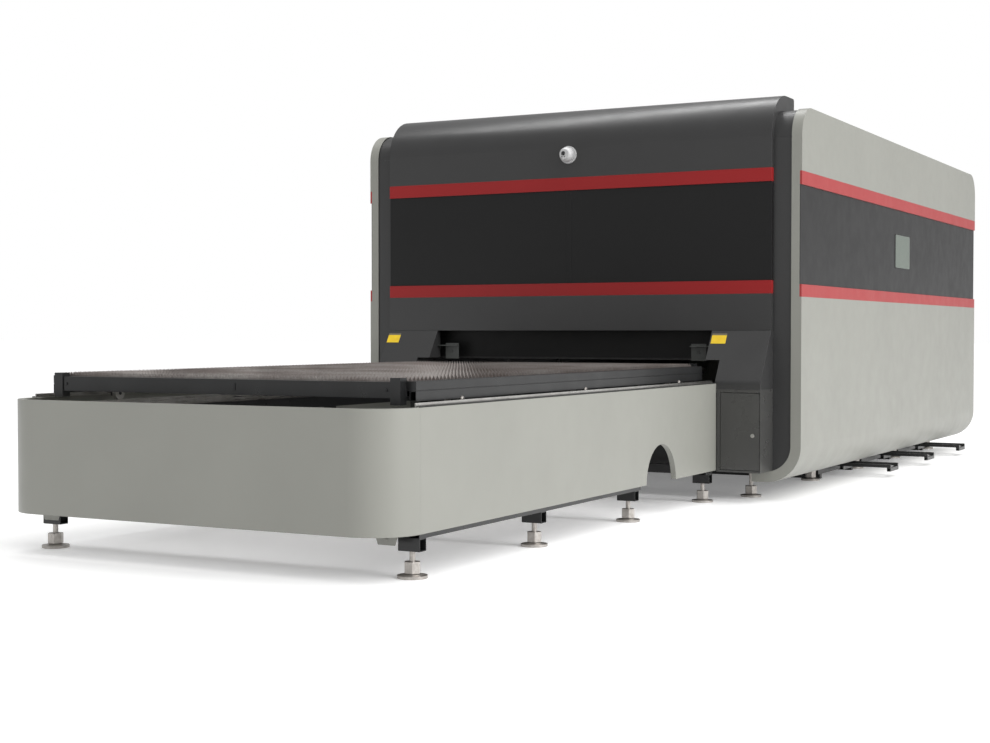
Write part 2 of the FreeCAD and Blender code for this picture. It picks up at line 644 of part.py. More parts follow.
def gantry_beam():
    """Box beam with the drive brackets welded to its ends."""
    beam = tube_x((-BRACKET_X, BRACKET_X), GANTRY_SPAN, (GANTRY_BOTTOM, GANTRY_TOP), GANTRY_WALL)
    bracket = box((BRACKET_X, BRACKET_X + 10), (GANTRY_Y - 70, GANTRY_Y + 70), (PINION_Z - 50, GANTRY_TOP))
    hole = cylinder(PINION_SHAFT + 3, vec(BRACKET_X - 1, GANTRY_Y, PINION_Z), vec(BRACKET_X + 11, GANTRY_Y, PINION_Z))
    bracket = bracket.cut(hole)
    return beam.fuse([bracket, mirrored(bracket)])


def gantry_shoe():
    """Right end carriage: a block with a groove that runs on the bed rail."""
    low = BEAM_TOP + 12
    block = box((SHOE_INNER, SHOE_OUTER), (GANTRY_Y - SHOE_LENGTH / 2, GANTRY_Y + SHOE_LENGTH / 2),
                (low, GANTRY_BOTTOM))
    groove = box((RAIL_X - RAIL_WIDTH / 2 - GAP, RAIL_X + RAIL_WIDTH / 2 + GAP),
                 (GANTRY_Y - SHOE_LENGTH, GANTRY_Y + SHOE_LENGTH), (low - 1, BEAM_TOP + RAIL_HEIGHT + GAP))
    return block.cut(groove)


def gantry_motor():
    low = BRACKET_X + 10
    body = box((low, low + MOTOR_LENGTH), (GANTRY_Y - MOTOR_SIZE / 2, GANTRY_Y + MOTOR_SIZE / 2),
               (PINION_Z - MOTOR_SIZE / 2, PINION_Z + MOTOR_SIZE / 2))
    upright = [edge for edge in body.Edges if abs(edge.Vertexes[0].X - edge.Vertexes[1].X) > 1]
    body = body.makeFillet(8.0, upright)
    return body.cut(cylinder(PINION_SHAFT + FIT, vec(low - 1, GANTRY_Y, PINION_Z), vec(low + 21, GANTRY_Y, PINION_Z)))


def pinion():
    """Pinion at its pitch size on the motor's shaft."""
    gear = cylinder(PINION_RADIUS, vec(RACK_X - RACK_WIDTH / 2, GANTRY_Y, PINION_Z),
                    vec(RACK_X + RACK_WIDTH / 2, GANTRY_Y, PINION_Z))
    shaft = cylinder(PINION_SHAFT, vec(RACK_X, GANTRY_Y, PINION_Z), vec(BRACKET_X + 30, GANTRY_Y, PINION_Z))
    return gear.fuse(shaft).removeSplitter()


def cross_rail(z):
    front = GANTRY_SPAN[0]
    return box((-SHOE_OUTER, SHOE_OUTER), (front - CROSS_RAIL, front), (z - CROSS_RAIL / 2, z + CROSS_RAIL / 2))


def cross_carriage():
    """Plate that runs across the gantry on two rails."""
    back = GANTRY_SPAN[0] - GAP
    front = GANTRY_SPAN[0] - CROSS_RAIL - GAP - CARRIAGE_DEPTH
    plate = box((-CARRIAGE_HALF, CARRIAGE_HALF), (front, back), (CARRIAGE_BOTTOM, CARRIAGE_TOP))
    for z in CROSS_RAIL_HEIGHTS:
        half = CROSS_RAIL / 2 + GAP
        plate = plate.cut(box((-CARRIAGE_HALF - 1, CARRIAGE_HALF + 1),
                              (GANTRY_SPAN[0] - CROSS_RAIL - GAP, back + 1), (z - half, z + half)))
    return plate


def head_body():
    """Cutting head on its vertical slide plate."""
    back = GANTRY_SPAN[0] - CROSS_RAIL - 2 * GAP - CARRIAGE_DEPTH
    plate = box((-50, 50), (back - SLIDE_DEPTH, back), (NOZZLE_TOP + 60, HEAD_TOP))
    centre_y = back - SLIDE_DEPTH - HEAD_RADIUS + 6
    body = cylinder(HEAD_RADIUS, vec(0, centre_y, NOZZLE_TOP + 70), vec(0, centre_y, HEAD_TOP - 30))
    lower = cylinder(HEAD_RADIUS * 0.7, vec(0, centre_y, NOZZLE_TOP), vec(0, centre_y, NOZZLE_TOP + 70))
    return plate.fuse([body, lower]), centre_y


def head_nozzle(centre_y):
    cone = Part.makeCone(5.0, HEAD_RADIUS * 0.6, NOZZLE_TOP - NOZZLE_TIP, vec(0, centre_y, NOZZLE_TIP))
    return cone.cut(cylinder(1.5, vec(0, centre_y, NOZZLE_TIP - 1), vec(0, centre_y, NOZZLE_TOP + 1)))


# ---- pallet ----
RAIL_INNER = PALLET_HALF - PALLET_RAIL_WIDTH


def pallet_side():
    """Right side of the pallet: two stacked tubes, a slat ledge, corner posts and wheel axles."""
    y = (PALLET_FRONT + POST_SIZE - 4, PALLET_BACK - POST_SIZE + 4)
    upper = tube_y((RAIL_INNER, PALLET_HALF), y, (PALLET_SEAM, PALLET_TOP), PALLET_WALL)
    lower = tube_y((PALLET_HALF - PALLET_TUBE_WIDTH, PALLET_HALF), y, (PALLET_BOTTOM, PALLET_SEAM), PALLET_WALL)
    groove = box((PALLET_HALF - 2, PALLET_HALF + 1), (y[0] - 1, y[1] + 1), (PALLET_SEAM, PALLET_SEAM + 3))
    ledge = box((RAIL_INNER - LEDGE, PALLET_HALF - PALLET_TUBE_WIDTH), y, (SLAT_BOTTOM - 4, SLAT_BOTTOM - GAP))
    web = box((RAIL_INNER, RAIL_INNER + 4), y, (SLAT_BOTTOM - 4, PALLET_SEAM))
    for y_axle in WHEEL_STATIONS:
        notch = box((RAIL_INNER - LEDGE - 1, PALLET_HALF - PALLET_TUBE_WIDTH - HANGER),
                    (y_axle - WHEEL_RADIUS - 4, y_axle + WHEEL_RADIUS + 4), (SLAT_BOTTOM - 5, PALLET_SEAM - 4))
        ledge = ledge.cut(notch)
        web = web.cut(notch)
    pieces = [lower, ledge, web]
    for post_y in (PALLET_FRONT, PALLET_BACK - POST_SIZE):
        post = box((RAIL_INNER - POST_SIZE + 1, RAIL_INNER + 1), (post_y, post_y + POST_SIZE),
                   (POST_BOTTOM, POST_TOP))
        hollow = box((RAIL_INNER - POST_SIZE + 1 + PALLET_WALL, RAIL_INNER + 1 - PALLET_WALL),
                     (post_y + PALLET_WALL, post_y + POST_SIZE - PALLET_WALL),
                     (POST_BOTTOM - 1, POST_TOP - PALLET_WALL))
        pieces.append(post.cut(hollow))
    wheel_inner = WHEEL_X - WHEEL_WIDTH / 2
    for y_axle in WHEEL_STATIONS:
        hanger = box((PALLET_HALF - PALLET_TUBE_WIDTH - HANGER, PALLET_HALF - PALLET_TUBE_WIDTH),
                     (y_axle - 25, y_axle + 25), (WHEEL_Z - 12, PALLET_SEAM))
        pieces.append(hanger)
        pieces.append(cylinder(AXLE_RADIUS, vec(wheel_inner - 2, y_axle, WHEEL_Z),
                               vec(PALLET_HALF - PALLET_TUBE_WIDTH, y_axle, WHEEL_Z)))
    for y_cap in (y[0], y[1] - PALLET_WALL):
        pieces.append(box((RAIL_INNER, PALLET_HALF), (y_cap, y_cap + PALLET_WALL), (PALLET_SEAM, PALLET_TOP)))
    return upper.fuse(pieces).cut(groove).removeSplitter()


def end_beam(y):
    half = RAIL_INNER - POST_SIZE + 1 - GAP
    return tube_x((-half, half), (y, y + END_BEAM_DEPTH), (END_BEAM_BOTTOM, END_BEAM_TOP), PALLET_WALL)


def slat(y):
    """Sheet slat with saw teeth on its upper edge."""
    half = RAIL_INNER - GAP
    teeth = int(2 * half // TOOTH_PITCH)
    pitch = 2 * half / teeth
    points = [(-half, SLAT_BOTTOM), (half, SLAT_BOTTOM), (half, SLAT_ROOT)]
    for i in range(teeth):
        right = half - i * pitch
        points.append((right - pitch / 2, SLAT_TIP))
        points.append((right - pitch, SLAT_ROOT))
    return prism_y(points, [0] * len(points), y, y + SLAT_THICKNESS)


def slats():
    first = PALLET_FRONT + SLAT_END_SPACE
    last = PALLET_BACK - SLAT_END_SPACE
    count = int((last - first) // SLAT_PITCH) + 1
    template = slat(first)
    rows = []
    for i in range(count):
        row = template.copy()
        row.translate(vec(0, i * SLAT_PITCH, 0))
        rows.append(row)
    return rows


def wheel(y):
    low, high = WHEEL_X - WHEEL_WIDTH / 2, WHEEL_X + WHEEL_WIDTH / 2
    tyre = cylinder(WHEEL_RADIUS, vec(low, y, WHEEL_Z), vec(high, y, WHEEL_Z))
    return tyre.cut(cylinder(AXLE_RADIUS + FIT, vec(low - 1, y, WHEEL_Z), vec(high + 1, y, WHEEL_Z)))


# ---- exchange table ----
def table_front_panel():
    """Front skirt of the table: one sheet with two rounded corners and folded rims."""
    def ring(inset, z_low, z_high):
        half, front = TABLE_HALF - inset, TABLE_FRONT + inset
        corner = TABLE_CORNER - inset
        end = TABLE_FRONT + TABLE_CORNER
        points = [(-half, end), (-half, front), (half, front), (half, end)]
        return prism_z(points, [0, corner, corner, 0], z_low, z_high)
    skin = ring(0, TABLE_BOTTOM, TABLE_TOP).cut(ring(SHEET, TABLE_BOTTOM + SHEET, TABLE_TOP - SHEET))
    return skin.cut(ring(TABLE_FLANGE, TABLE_BOTTOM - 1, TABLE_TOP + 1))


def table_side_panel():
    """Right skirt of the table with an arch and its inward rim."""
    y = (TABLE_FRONT + TABLE_CORNER + GAP, TABLE_BACK)
    z = (TABLE_BOTTOM, TABLE_TOP)
    skin = box((TABLE_HALF - TABLE_FLANGE, TABLE_HALF), y, z)
    skin = skin.cut(box((TABLE_HALF - TABLE_FLANGE - 1, TABLE_HALF - SHEET), (y[0] - 1, y[1] + 1),
                        (z[0] + SHEET, z[1] - SHEET)))
    outer_rim = cylinder(ARCH_RADIUS + SHEET, vec(TABLE_HALF - ARCH_FLANGE, ARCH_Y, z[0]), vec(TABLE_HALF, ARCH_Y, z[0]))
    inner_rim = cylinder(ARCH_RADIUS, vec(0, ARCH_Y, z[0]), vec(TABLE_HALF + 1, ARCH_Y, z[0]))
    above = box((0, TABLE_HALF + 1), (ARCH_Y - 400, ARCH_Y + 400), (z[0], z[1]))
    return skin.fuse(outer_rim.common(above)).cut(inner_rim).removeSplitter()


TUBE_X = (TABLE_HALF - TABLE_FLANGE - GAP - TUBE, TABLE_HALF - TABLE_FLANGE - GAP)
TABLE_Y = (FOOT_STATIONS[0] - TUBE / 2, FOOT_STATIONS[-1] + TUBE / 2)


def table_lower_beam():
    """Lower side tube: a long run up to the arch and a short block over the last foot."""
    z = (CROSS_BOTTOM + TUBE, CROSS_BOTTOM + 2 * TUBE)
    gap = ARCH_RADIUS + SHEET + 6
    return [tube_y(TUBE_X, (TABLE_Y[0], ARCH_Y - gap), z, TUBE_WALL),
            tube_y(TUBE_X, (TABLE_Y[1] - 2 * TUBE, TABLE_Y[1]), z, TUBE_WALL)]


def table_upper_beam():
    x = (WHEEL_X - UPPER_BEAM_HALF_WIDTH, WHEEL_X + UPPER_BEAM_HALF_WIDTH)
    return tube_y(x, TABLE_Y, (UPPER_BEAM_BOTTOM, TRACK_TOP - TRACK_HEIGHT), TUBE_WALL)


def table_cross(y):
    """Cross tube between the lower side tubes, with an open-ended stub under each end for the foot."""
    y_tube = (y - TUBE / 2, y + TUBE / 2)
    span = tube_x((-TUBE_X[0] + GAP, TUBE_X[0] - GAP), y_tube, (CROSS_BOTTOM + TUBE, CROSS_BOTTOM + 2 * TUBE),
                  TUBE_WALL)
    stub = tube_x((FOOT_X - TUBE, TUBE_X[1]), y_tube, (CROSS_BOTTOM, CROSS_BOTTOM + TUBE), TUBE_WALL)
    return span.fuse([stub, mirrored(stub)]).removeSplitter()


def table_post(y):
    return tube_z((WHEEL_X - TUBE / 2, WHEEL_X + TUBE / 2), (y - TUBE / 2, y + TUBE / 2),
                  (CROSS_BOTTOM + 2 * TUBE, UPPER_BEAM_BOTTOM), TUBE_WALL)


# ---- feet, trays and drive ----
def foot_pad(x, y):
    """Swivel pad of a levelling foot: a flat disc with a raised neck."""
    disc = cylinder(PAD_RADIUS, vec(x, y, 0), vec(x, y, PAD_HEIGHT * 0.6))
    cone = Part.makeCone(PAD_RADIUS * 0.75, PAD_NECK, PAD_HEIGHT * 0.4, vec(x, y, PAD_HEIGHT * 0.6))
    return disc.fuse(cone).removeSplitter()


def foot_stud(x, y, top):
    """Hexagon block and stud above a pad, up to the frame."""
    reach = HEX_ACROSS / 2 / math.cos(math.pi / 6)
    corners = [(x + reach * math.cos(math.pi / 3 * i), y + reach * math.sin(math.pi / 3 * i)) for i in range(6)]
    block = prism_z(corners, [0] * 6, PAD_HEIGHT, PAD_HEIGHT + HEX_HEIGHT)
    return block.fuse(cylinder(STUD_RADIUS, vec(x, y, PAD_HEIGHT), vec(x, y, top))).removeSplitter()


def foot_places():
    """Right-side feet as (x, y, height of the frame above)."""
    places = [(FOOT_X, y, CROSS_BOTTOM) for y in FOOT_STATIONS]
    return places + [(CABIN_FOOT_X, y, BEAM_BOTTOM) for y in CABIN_FOOT_STATIONS]


def slag_tray(index):
    """Low tray on two skids, with a pull frame of bars laid on two cross tubes."""
    y = (TRAY_FIRST + index * TRAY_PITCH, TRAY_FIRST + index * TRAY_PITCH + TRAY_WIDTH)
    body = box((TRAY_LEFT, TRAY_RIGHT), y, (TRAY_BOTTOM, TRAY_TOP))
    body = body.cut(box((TRAY_LEFT + SHEET, TRAY_RIGHT - SHEET), (y[0] + SHEET, y[1] - SHEET),
                        (TRAY_BOTTOM + SHEET, TRAY_TOP + 1)))
    extras = []
    for skid in (y[0] + SKID_WIDTH, y[1] - 2 * SKID_WIDTH):
        extras.append(box((TRAY_LEFT, TRAY_RIGHT), (skid, skid + SKID_WIDTH), (0, TRAY_BOTTOM)))
    middle = (y[0] + y[1]) / 2
    grip = (middle - GRIP_LENGTH / 2, middle + GRIP_LENGTH / 2)
    bar_low = GRIP_BOTTOM + GRIP_TUBE
    for x in (GRIP_INNER - GRIP_TUBE, GRIP_OUTER - GRIP_TUBE):
        extras.append(tube_y((x, x + GRIP_TUBE), grip, (GRIP_BOTTOM, bar_low), 2.5))
    for low in (grip[0], grip[1] - GRIP_BAR):
        extras.append(box((TRAY_RIGHT - SHEET, GRIP_OUTER), (low, low + GRIP_BAR), (bar_low, bar_low + GRIP_BAR)))
    return body.fuse(extras).removeSplitter()


def drive_shaft():
    """Cross shaft of the pallet drive with a sprocket at each end."""
    reach = WHEEL_X - UPPER_BEAM_HALF_WIDTH - 20
    shaft = cylinder(DRIVE_SHAFT, vec(-reach, DRIVE_Y, DRIVE_Z), vec(reach, DRIVE_Y, DRIVE_Z))
    wheels = []
    for x in (-reach + 30, reach - 30 - SPROCKET_WIDTH):
        wheels.append(cylinder(SPROCKET_RADIUS, vec(x, DRIVE_Y, DRIVE_Z), vec(x + SPROCKET_WIDTH, DRIVE_Y, DRIVE_Z)))
    return shaft.fuse(wheels).removeSplitter()


def drive_motor():
    """Gear motor round the drive shaft, hung from a table cross tube by its torque plate."""
    half = DRIVE_BLOCK
    x = (-half, half)
    last = FOOT_STATIONS[-1]
    block = box(x, (DRIVE_Y - half, DRIVE_Y + half), (DRIVE_Z - half, DRIVE_Z + half))
    can = cylinder(0.85 * half, vec(0, DRIVE_Y, DRIVE_Z - half), vec(0, DRIVE_Y, DRIVE_Z - 2.8 * half))
    plate = box(x, (last - 8, last), (CROSS_BOTTOM + 2 * TUBE, DRIVE_Z + half))
    bridge = box(x, (DRIVE_Y, last - 4), (DRIVE_Z - half / 2, DRIVE_Z + half / 2))
    bore = cylinder(DRIVE_SHAFT + FIT, vec(-half - 1, DRIVE_Y, DRIVE_Z), vec(half + 1, DRIVE_Y, DRIVE_Z))
    return block.fuse([can, plate, bridge]).cut(bore).removeSplitter()


def main():
    os.makedirs(PARTS, exist_ok=True)
    right = side_panel()
    save("side_panel_right", right)
    save("side_panel_left", mirrored(right))
    save("side_bands", both_sides(side_band()))
    save("side_stripes", [s for stripe in side_stripes() for s in both_sides(stripe)])
    save("side_windows", both_sides(window_pane()))
    save("front_wall", front_wall())
    save("rear_wall", rear_wall())
    save("roof_panel", roof_panel())
    save("fascia_top", fascia_top())
    save("front_band_right", front_band(1))
    save("front_band_left", front_band(-1))
    save("front_stripes", [front_stripe(FRONT_STRIPE_LOW), front_stripe(FRONT_STRIPE_HIGH)])
    save("fascia_lower", fascia_lower())
    for name, flip in (("right", lambda s: s), ("left", mirrored)):
        save("hood_" + name, flip(hood()))
        save("cabinet_" + name, flip(cabinet()))
        save("cabinet_door_" + name, flip(cabinet_door()))
        save("door_lock_" + name, flip(door_lock()))
        save("gantry_pinion_" + name, flip(pinion()))
        save("table_side_panel_" + name, flip(table_side_panel()))
    save("lifting_door", lifting_door())
    save("lifting_door_guides", both_sides(lifting_guide()))
    save("camera_collar", [camera_collar(), camera_bracket()])
    save("camera_ball", camera_ball())

    save("bed_beams", both_sides(tube_y((BEAM_INNER, BEAM_OUTER), BED_Y, (BEAM_BOTTOM, BEAM_TOP), BEAM_WALL)))
    save("bed_cross_members", [bed_cross(y) for y in bed_stations()])
    save("bed_rails", both_sides(bed_rail()))
    save("bed_racks", both_sides(bed_rack()))
    cabin_track = (TABLE_Y[1] + TRACK_JOINT, BED_Y[1])
    tracks = both_sides(track(TABLE_Y)) + both_sides(track(cabin_track))
    save("pallet_tracks", tracks + both_sides(side_guide()))
    save("track_brackets", [b for y in bed_stations() for b in both_sides(track_bracket(y))])

    save("gantry_beam", gantry_beam())
    save("gantry_shoes", both_sides(gantry_shoe()))
    save("gantry_motors", both_sides(gantry_motor()))
    save("cross_rails", [cross_rail(z) for z in CROSS_RAIL_HEIGHTS])
    save("cross_carriage", cross_carriage())
    head, head_y = head_body()
    save("cutting_head", head)
    save("head_nozzle", head_nozzle(head_y))

    save("pallet_side_rails", both_sides(pallet_side()))
    save("pallet_end_beams", [end_beam(PALLET_FRONT + 5), end_beam(PALLET_BACK - 5 - END_BEAM_DEPTH)])
    save("pallet_slats", slats())
    for i, y in enumerate(WHEEL_STATIONS):
        save("pallet_wheels_%d" % (i + 1), both_sides(wheel(y)))

    save("table_front_panel", table_front_panel())
    save("table_lower_beams", [b for beam in table_lower_beam() for b in both_sides(beam)])
    save("table_upper_beams", both_sides(table_upper_beam()))
    save("table_cross_members", [table_cross(y) for y in FOOT_STATIONS])
    save("table_posts", [p for y in FOOT_STATIONS for p in both_sides(table_post(y))])
    save("drive_shaft", drive_shaft())
    save("drive_motor", drive_motor())

    places = foot_places()
    save("foot_pads", [p for x, y, top in places for p in both_sides(foot_pad(x, y))])
    save("foot_studs", [p for x, y, top in places for p in both_sides(foot_stud(x, y, top))])
    for i in range(TRAY_COUNT):
        save("slag_tray_%d" % (i + 1), slag_tray(i))


main()
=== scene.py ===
import math

import bmesh
import bpy
from mathutils import Matrix, Vector


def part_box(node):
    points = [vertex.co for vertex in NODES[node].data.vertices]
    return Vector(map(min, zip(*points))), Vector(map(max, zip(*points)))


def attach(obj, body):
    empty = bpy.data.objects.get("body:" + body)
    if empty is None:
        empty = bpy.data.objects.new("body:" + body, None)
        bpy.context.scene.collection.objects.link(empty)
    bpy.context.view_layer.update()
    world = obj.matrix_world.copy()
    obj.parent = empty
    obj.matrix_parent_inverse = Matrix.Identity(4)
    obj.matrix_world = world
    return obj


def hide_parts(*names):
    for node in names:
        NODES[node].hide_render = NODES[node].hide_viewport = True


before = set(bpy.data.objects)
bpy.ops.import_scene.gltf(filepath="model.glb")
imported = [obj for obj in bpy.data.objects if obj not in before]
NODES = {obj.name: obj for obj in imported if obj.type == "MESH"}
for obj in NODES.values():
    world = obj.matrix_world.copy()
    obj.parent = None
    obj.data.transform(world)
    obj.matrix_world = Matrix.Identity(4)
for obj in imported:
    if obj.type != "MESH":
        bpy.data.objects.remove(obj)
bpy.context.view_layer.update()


# ---- view ----
CAMERA_PLACE = (4.0739, -9.0559, 0.9505)
CAMERA_PITCH = 1.4273    # degrees below level
CAMERA_YAW = 28.3525     # degrees to the left of the machine's long axis
CAMERA_LENS = 57.575
CAMERA_SENSOR = 36.0
CAMERA_REACH = 200.0     # what lies further off than this is not drawn


def add_camera():
    data = bpy.data.cameras.new("camera")
    data.lens = CAMERA_LENS
    data.sensor_width = CAMERA_SENSOR
    data.clip_end = CAMERA_REACH
    camera = bpy.data.objects.new("camera", data)
    camera.location = CAMERA_PLACE
    camera.rotation_euler = (math.radians(90 - CAMERA_PITCH), 0, math.radians(CAMERA_YAW))
    bpy.context.scene.collection.objects.link(camera)
    bpy.context.scene.camera = camera


# ---- materials ----
GREY = (0.254, 0.255, 0.229)
DARK = (0.032, 0.032, 0.0322)
BAND = (0.009, 0.009, 0.0092)
NOISE_LOW = 0.3          # most of a noise texture's values lie between these two
NOISE_HIGH = 0.7
COAT_SHADE = 0.94        # the darker patches of a powder coat, as a share of its colour
SEAM_SHADE = 0.25        # the joint lines between sheets, as a share of their colour
SEAM_HALF_WIDTH = 0.0016
ROOF_SHEETS = 4
REAR_SHEETS = 3


class Shader:
    """A Principled material with a few helpers for wiring procedural detail."""

    def __init__(self, name, colour, roughness, metallic=0.0):
        self.material = bpy.data.materials.new(name)
        self.material.use_nodes = True
        self.tree = self.material.node_tree
        self.principled = self.tree.nodes["Principled BSDF"]
        self.principled.inputs["Base Color"].default_value = (*colour, 1)
        self.principled.inputs["Roughness"].default_value = roughness
        self.principled.inputs["Metallic"].default_value = metallic
        self.colour = colour
        self.roughness = roughness
        self.place = self.add("ShaderNodeTexCoord").outputs["Object"]

    def add(self, kind, **values):
        node = self.tree.nodes.new(kind)
        for key, value in values.items():
            setattr(node, key, value)
        return node

    def link(self, source, target):
        self.tree.links.new(source, target)

    def noise(self, scale, detail=3.0, stretch=(1, 1, 1)):
        mapping = self.add("ShaderNodeMapping")
        mapping.inputs["Scale"].default_value = stretch
        self.link(self.place, mapping.inputs["Vector"])
        texture = self.add("ShaderNodeTexNoise")
        texture.inputs["Scale"].default_value = scale
        texture.inputs["Detail"].default_value = detail
        self.link(mapping.outputs["Vector"], texture.inputs["Vector"])
        return texture.outputs["Fac"]

    def spread(self, source, low=0.0, high=1.0):
        """The noise's middle range mapped to low..high."""
        node = self.add("ShaderNodeMapRange")
        node.inputs["From Min"].default_value = NOISE_LOW
        node.inputs["From Max"].default_value = NOISE_HIGH
        node.inputs["To Min"].default_value = low
        node.inputs["To Max"].default_value = high
        self.link(source, node.inputs["Value"])
        return node.outputs["Result"]

    def math(self, operation, first, second=None):
        node = self.add("ShaderNodeMath", operation=operation)
        for socket, value in zip(node.inputs, (first, second)):
            if value is None:
                continue
            if isinstance(value, (int, float)):
                socket.default_value = value
            else:
                self.link(value, socket)
        return node.outputs["Value"]

    def tint(self, factor, other, source=None):
        """Colour that goes from the base, or from source, to other as factor goes from 0 to 1."""
        node = self.add("ShaderNodeMix", data_type="RGBA")
        for socket in node.inputs:
            if socket.name == "Factor" and socket.type == "VALUE":
                self.link(factor, socket)
                break
        colours = [socket for socket in node.inputs if socket.type == "RGBA"]
        colours[0].default_value = (*self.colour, 1)
        colours[1].default_value = (*other, 1)
        if source is not None:
            self.link(source, colours[0])
        result = [socket for socket in node.outputs if socket.type == "RGBA"][0]
        self.link(result, self.principled.inputs["Base Color"])
        return result

    def mottle(self, other, scale, detail):
        """Noisy patches of the other colour over the base."""
        return self.tint(self.spread(self.noise(scale, detail)), other)

    def vary_roughness(self, source, amount):
        self.link(self.spread(source, self.roughness - amount, self.roughness + amount),
                  self.principled.inputs["Roughness"])

    def bump(self, height, distance, strength=1.0, edge=0.0015):
        """Relief over edges that are softened by a small bevel."""
        node = self.add("ShaderNodeBump")
        node.inputs["Strength"].default_value = strength
        node.inputs["Distance"].default_value = distance
        self.link(height, node.inputs["Height"])
        if edge > 0:
            bevel = self.add("ShaderNodeBevel", samples=4)
            bevel.inputs["Radius"].default_value = edge
            self.link(bevel.outputs["Normal"], node.inputs["Normal"])
        self.link(node.outputs["Normal"], self.principled.inputs["Normal"])

    def coat(self, weight, roughness):
        self.principled.inputs["Coat Weight"].default_value = weight
        self.principled.inputs["Coat Roughness"].default_value = roughness


def darker(colour, factor):
    return tuple(channel * factor for channel in colour)


def paint(name, colour, roughness, edge=0.002, coat=0.0, gloss=0.5):
    """Powder coat: fine orange peel, slightly uneven gloss and colour, softened folds."""
    shader = Shader(name, colour, roughness)
    shader.principled.inputs["Specular IOR Level"].default_value = gloss
    shader.mottle(darker(colour, COAT_SHADE), scale=1.7, detail=4.0)
    shader.vary_roughness(shader.noise(scale=9.0, detail=4.0), amount=0.04)
    shader.bump(shader.noise(scale=620.0, detail=2.0), distance=0.00012, strength=0.5, edge=edge)
    if coat:
        shader.coat(weight=coat, roughness=0.2)
    return shader


def seamed_paint(name, colour, roughness, axis, seams):
    """Powder coat with narrow joint lines where sheets butt, at these places along axis X or Y."""
    shader = paint(name, colour, roughness)
    split = shader.add("ShaderNodeSeparateXYZ")
    shader.link(shader.place, split.inputs["Vector"])
    nearest = None
    for seam in seams:
        distance = shader.math("ABSOLUTE", shader.math("SUBTRACT", split.outputs[axis], seam))
        nearest = distance if nearest is None else shader.math("MINIMUM", nearest, distance)
    line = shader.math("LESS_THAN", nearest, SEAM_HALF_WIDTH)
    base = shader.principled.inputs["Base Color"].links[0].from_socket
    shader.tint(line, darker(colour, SEAM_SHADE), base)
    return shader.material


def cabin_grey():
    return paint("cabin_grey", GREY, roughness=0.42).material


def table_grey():
    return paint("table_grey", GREY, roughness=0.40).material


def housing_dark():
    return paint("housing_dark", DARK, roughness=0.36, coat=0.12, gloss=0.45).material


def cabinet_dark():
    return paint("cabinet_dark", (0.050, 0.050, 0.048), roughness=0.30, coat=0.2, gloss=0.5).material


def front_band_dark():
    return paint("front_band_dark", BAND, roughness=0.38, gloss=0.26).material


# painted light: a slightly lighter copy of the front bands' dark paint for the side bands, which face the
# light
def side_band_dark_painted_lit():
    return paint("side_band_dark_painted_lit", (0.011, 0.011, 0.0113), roughness=0.38, gloss=0.26).material


def stripe_red():
    return paint("stripe_red", (0.285, 0.012, 0.013), roughness=0.38, gloss=0.30).material


# painted light: a lighter, paler copy of the front stripes' red paint for the side stripes, which face the
# light
def stripe_red_side_painted_lit():
    return paint("stripe_red_side_painted_lit", (0.33, 0.042, 0.043), roughness=0.38, gloss=0.22).material


def frame_dark():
    return paint("frame_dark", (0.012, 0.0124, 0.0128), roughness=0.31, gloss=0.46).material


def curtain_black():
    return paint("curtain_black", (0.007, 0.007, 0.007), roughness=0.5, gloss=0.25).material


def gantry_paint():
    return paint("gantry_paint", (0.50, 0.51, 0.52), roughness=0.4).material


def header_grey():
    return paint("header_grey", (0.16, 0.14, 0.09), roughness=0.4).material


def bracket_grey():
    return paint("bracket_grey", (0.060, 0.064, 0.060), roughness=0.4).material


def window_green():
    shader = Shader("window_green", (0.080, 0.110, 0.082), roughness=0.22)
    shader.mottle((0.070, 0.098, 0.071), scale=3.0, detail=2.0)
    shader.vary_roughness(shader.noise(scale=14.0, detail=3.0), amount=0.03)
    shader.bump(shader.noise(scale=30.0, detail=1.0), distance=0.0002, strength=0.2, edge=0.001)
    shader.coat(weight=0.6, roughness=0.05)
    return shader.material


def machined_steel():
    """Ground steel: fine scratches along the length, with a thin oil sheen."""
    shader = Shader("machined_steel", (0.55, 0.54, 0.52), roughness=0.32, metallic=1.0)
    scratches = shader.noise(scale=260.0, detail=4.0, stretch=(1.0, 0.02, 1.0))
    shader.mottle((0.42, 0.41, 0.39), scale=12.0, detail=5.0)
    shader.vary_roughness(scratches, amount=0.08)
    shader.bump(scratches, distance=0.0001, strength=0.4)
    return shader.material


def foot_steel():
    """Turned and zinc plated: cloudy, a little warm."""
    shader = Shader("foot_steel", (0.50, 0.475, 0.45), roughness=0.36, metallic=0.75)
    shader.mottle((0.36, 0.335, 0.31), scale=55.0, detail=5.0)
    shader.vary_roughness(shader.noise(scale=120.0, detail=4.0), amount=0.09)
    shader.bump(shader.noise(scale=500.0, detail=3.0), distance=0.00015, strength=0.5, edge=0.0015)
    return shader.material


def slat_steel():
    """Mild steel slats, browned by the cutting heat in drifting patches and dulled by soot."""
    shader = Shader("slat_steel", (0.460, 0.435, 0.415), roughness=0.40, metallic=0.45)
    brown = shader.mottle((0.235, 0.195, 0.180), scale=3.2, detail=5.0)
    soot = shader.spread(shader.noise(scale=48.0, detail=4.0), high=0.55)
    shader.tint(soot, (0.160, 0.142, 0.134), brown)
    shader.vary_roughness(shader.noise(scale=90.0, detail=4.0), amount=0.1)
    shader.bump(shader.noise(scale=340.0, detail=4.0), distance=0.0003, strength=0.6, edge=0.0)
    return shader.material


def motor_black():
    return paint("motor_black", (0.012, 0.012, 0.013), roughness=0.45).material


def head_alloy():
    shader = Shader("head_alloy", (0.16, 0.16, 0.17), roughness=0.33, metallic=0.8)
    grain = shader.noise(scale=300.0, detail=3.0, stretch=(1.0, 1.0, 0.05))
    shader.mottle((0.12, 0.12, 0.13), scale=20.0, detail=3.0)
    shader.vary_roughness(grain, amount=0.06)
    shader.bump(grain, distance=0.00008, strength=0.4)
    return shader.material


